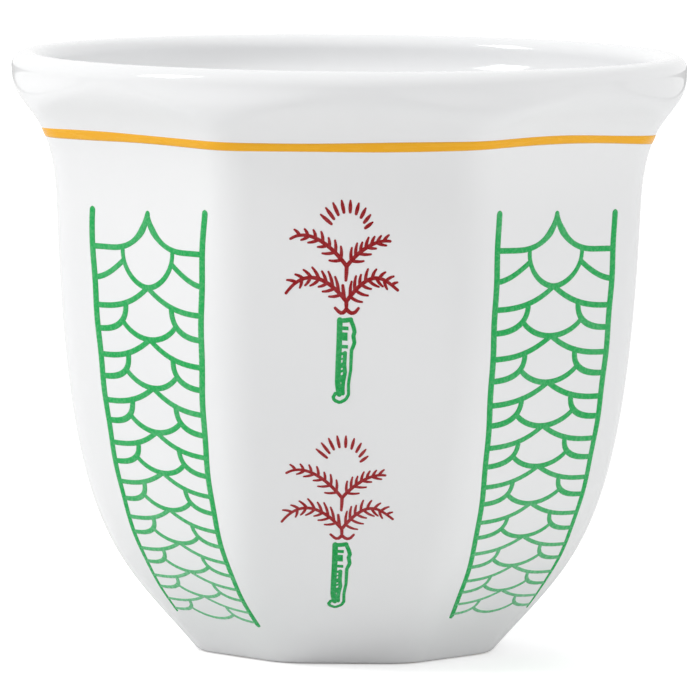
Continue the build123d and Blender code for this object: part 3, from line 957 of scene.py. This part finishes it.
points, faces, edge = amber_band()
make_piece("amber_band", points, faces, amber, "amber_line", "amber_lustre", edge=edge)
low, high = points[:, 2].min(), points[:, 2].max()
print("amber line:", len(faces), "faces, from", low.round(2), "to", high.round(2), "mm")

# %% [markdown]
# ## Floor, light and camera
#
# The cup stands on a pale floor, a hair below its foot so that the two surfaces don't coincide. The light is
# even and a little stronger from the left, where a small softbox makes the white streak on the lip and the
# window in the bowl. The world is white to the camera and to reflections, and dimmer as a lamp, so the
# background is white without burning out the porcelain. The floor is lifted to white for the camera alone,
# more so far away, where the lamps no longer reach it. Distances here are in metres, as the scene counts
# them, apart from the camera's.

# %% Floor and world
AMBIENT = 0.48
FLOOR_REACH = 3.0
FLOOR_DROP = 0.02 * MM
FLOOR_COLOUR = (0.9, 0.9, 0.9, 1)
FLOOR_ROUGHNESS = 0.9
WHITE = (1, 1, 1, 1)
NEAR_FLOOR = 0.2
FAR_FLOOR = 0.9
NEAR_GLOW = 0.4
FAR_GLOW = 0.65


def white_to_the_eye(tree, shade, socket):
    """Links a shade that is 1 for camera, glossy and transmission rays and lower for the light it gives."""
    path = add_node(tree, "ShaderNodeLightPath").outputs
    seen = math_node(tree, "MAXIMUM", path["Is Camera Ray"], path["Is Glossy Ray"])
    seen = math_node(tree, "MAXIMUM", seen, path["Is Transmission Ray"])
    tree.links.new(ramp(tree, seen, 0, 1, shade, 1.0), socket)


world = bpy.data.worlds.new("studio")
bpy.context.scene.world = world
world.use_nodes = True
sky = world.node_tree.nodes["Background"]
sky.inputs["Color"].default_value = WHITE
white_to_the_eye(world.node_tree, AMBIENT, sky.inputs["Strength"])

floor_mesh = bpy.data.meshes.new("floor")
signs = ((-1, -1), (1, -1), (1, 1), (-1, 1))
corners = [(x * FLOOR_REACH, y * FLOOR_REACH, -FLOOR_DROP) for x, y in signs]
floor_mesh.from_pydata(corners, [], [(0, 1, 2, 3)])
floor = bpy.data.objects.new("floor", floor_mesh)
bpy.context.scene.collection.objects.link(floor)

floor_finish, floor_tree, floor_shader = new_finish("pale_floor")
floor_shader.inputs["Base Color"].default_value = FLOOR_COLOUR
floor_shader.inputs["Roughness"].default_value = FLOOR_ROUGHNESS
floor_shader.inputs["Specular IOR Level"].default_value = 0.0
floor_shader.inputs["Emission Color"].default_value = WHITE
floor_place = add_node(floor_tree, "ShaderNodeTexCoord").outputs["Object"]
floor_distance = add_node(floor_tree, "ShaderNodeVectorMath", {"operation": "LENGTH"}, _0=floor_place)
floor_glow = ramp(floor_tree, floor_distance.outputs["Value"], NEAR_FLOOR, FAR_FLOOR, NEAR_GLOW, FAR_GLOW)
floor_eye = add_node(floor_tree, "ShaderNodeLightPath").outputs["Is Camera Ray"]
floor_seen = math_node(floor_tree, "MULTIPLY", floor_eye, floor_glow)
floor_tree.links.new(floor_seen, floor_shader.inputs["Emission Strength"])
floor_mesh.materials.append(floor_finish)
print("world gives", AMBIENT, "of the light that the camera sees behind the cup")

# %% Lamps
MIDDLE = Vector((0, 0, 0.028))
LAMP_DISTANCE = 0.9
LAMP_SIZE = (0.6, 0.6)
WINDOW_DISTANCE = 0.8
WINDOW_SIZE = (0.2, 0.27)


def softbox(name, direction, power, distance=LAMP_DISTANCE, size=LAMP_SIZE, in_reflections=False):
    """Rectangular lamp at a distance in a direction from the cup's middle, turned to face it."""
    lamp = bpy.data.lights.new(name, "AREA")
    lamp.shape = "RECTANGLE"
    lamp.size, lamp.size_y = size
    lamp.energy = power
    holder = bpy.data.objects.new(name, lamp)
    away = Vector(direction).normalized()
    turned = away.to_track_quat("Z", "Y").to_matrix().to_4x4()
    holder.matrix_world = Matrix.Translation(MIDDLE + away * distance) @ turned
    holder.visible_glossy = in_reflections
    bpy.context.scene.collection.objects.link(holder)


softbox("key", (-0.85, -0.25, 0.45), power=0.6)
softbox("window", (-0.73, -0.21, 0.64), 2.0, WINDOW_DISTANCE, WINDOW_SIZE, in_reflections=True)
softbox("fill", (0.9, -0.3, 0.3), power=1.6)
softbox("back", (0.0, 0.9, 0.45), power=2.0)
softbox("top", (0.0, 0.01, 1.0), power=1.8)
print("five lamps: key and window from the left, fill from the right, one behind and one above")

# %% Camera
CAMERA_DISTANCE = 703.2
CAMERA_RISE = math.radians(5.711)
CAMERA_SWING = math.radians(0.4)
CAMERA_ROLL = math.radians(0.478)
AIM = Vector((0.29, 0, 28.6)) * MM
LENS = 374.4
SENSOR_WIDTH = 36
NEAREST_SEEN = 0.05

camera = bpy.data.cameras.new("camera")
camera.lens = LENS
camera.sensor_width = SENSOR_WIDTH
camera.clip_start = NEAREST_SEEN
holder = bpy.data.objects.new("camera", camera)
level_reach = CAMERA_DISTANCE * MM * math.cos(CAMERA_RISE)
camera_height = CAMERA_DISTANCE * MM * math.sin(CAMERA_RISE)
swung = (-level_reach * math.sin(CAMERA_SWING), -level_reach * math.cos(CAMERA_SWING), camera_height)
stand = MIDDLE + Vector(swung)
back = (stand - AIM).normalized()
level_right = Vector((0, 0, 1)).cross(back).normalized()
level_up = back.cross(level_right)
right = level_right * math.cos(CAMERA_ROLL) + level_up * math.sin(CAMERA_ROLL)
up = level_up * math.cos(CAMERA_ROLL) - level_right * math.sin(CAMERA_ROLL)
holder.matrix_world = Matrix.Translation(stand) @ Matrix((right, up, back)).transposed().to_4x4()
bpy.context.scene.collection.objects.link(holder)
bpy.context.scene.camera = holder
bpy.context.scene.view_settings.view_transform = "Standard"
print("camera", round(CAMERA_DISTANCE), "mm from the cup, through a", LENS, "mm lens")
